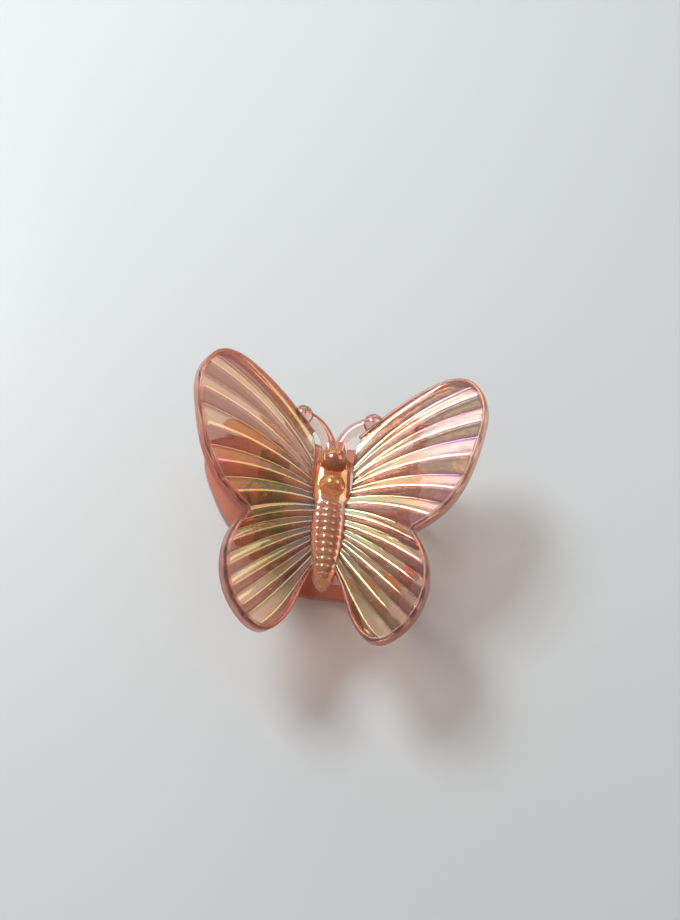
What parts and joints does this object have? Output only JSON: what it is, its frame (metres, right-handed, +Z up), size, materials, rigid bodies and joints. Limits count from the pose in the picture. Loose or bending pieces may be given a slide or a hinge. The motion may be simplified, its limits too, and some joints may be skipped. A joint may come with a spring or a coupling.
{
  "type": "butterfly hair clip",
  "caption": "Small translucent butterfly-shaped hair clip with ribbed wings, sprung comb jaw and thumb tab hinged beneath one wing.",
  "frame": {"origin": "middle of the base of the bounding box: below the body axis, on the surface that the comb jaw stands on", "axes": "+X towards the butterfly's right wing, +Y towards its head, +Z up, out of the wings' ribbed side"},
  "size_m": [0.0354, 0.0328, 0.0179],
  "materials": {
    "wing_plastic": "clear peach moulding with a thin pearly coating on top",
    "body_plastic": "clear peach moulding with a thin pearly coating on top",
    "jaw_plastic": "clear orange-peach moulding, uncoated",
    "spring_steel": "drawn wire",
    "pin_steel": "drawn wire, cropped ends"
  },
  "bodies": {
    "comb_jaw": {"lower_jaw": "jaw_plastic"},
    "butterfly": {"butterfly_body": "body_plastic", "left_antenna": "body_plastic", "right_antenna": "body_plastic", "left_wing": "wing_plastic", "right_wing": "wing_plastic", "front_hinge_lug": "jaw_plastic", "rear_hinge_lug": "jaw_plastic", "hinge_pin": "pin_steel", "torsion_spring": "spring_steel"}
  },
  "joints": [
    {"name": "jaw_hinge", "type": "hinge", "parent": "comb_jaw", "child": "butterfly", "pos_m": [-0.007, -0.0002, 0.0096], "axis": [0, -1, 0], "range_deg": [0, 35], "stiffness_Nm_per_rad": 0.008, "springref_deg": -91.67, "deforming": ["torsion_spring"]}
  ]
}
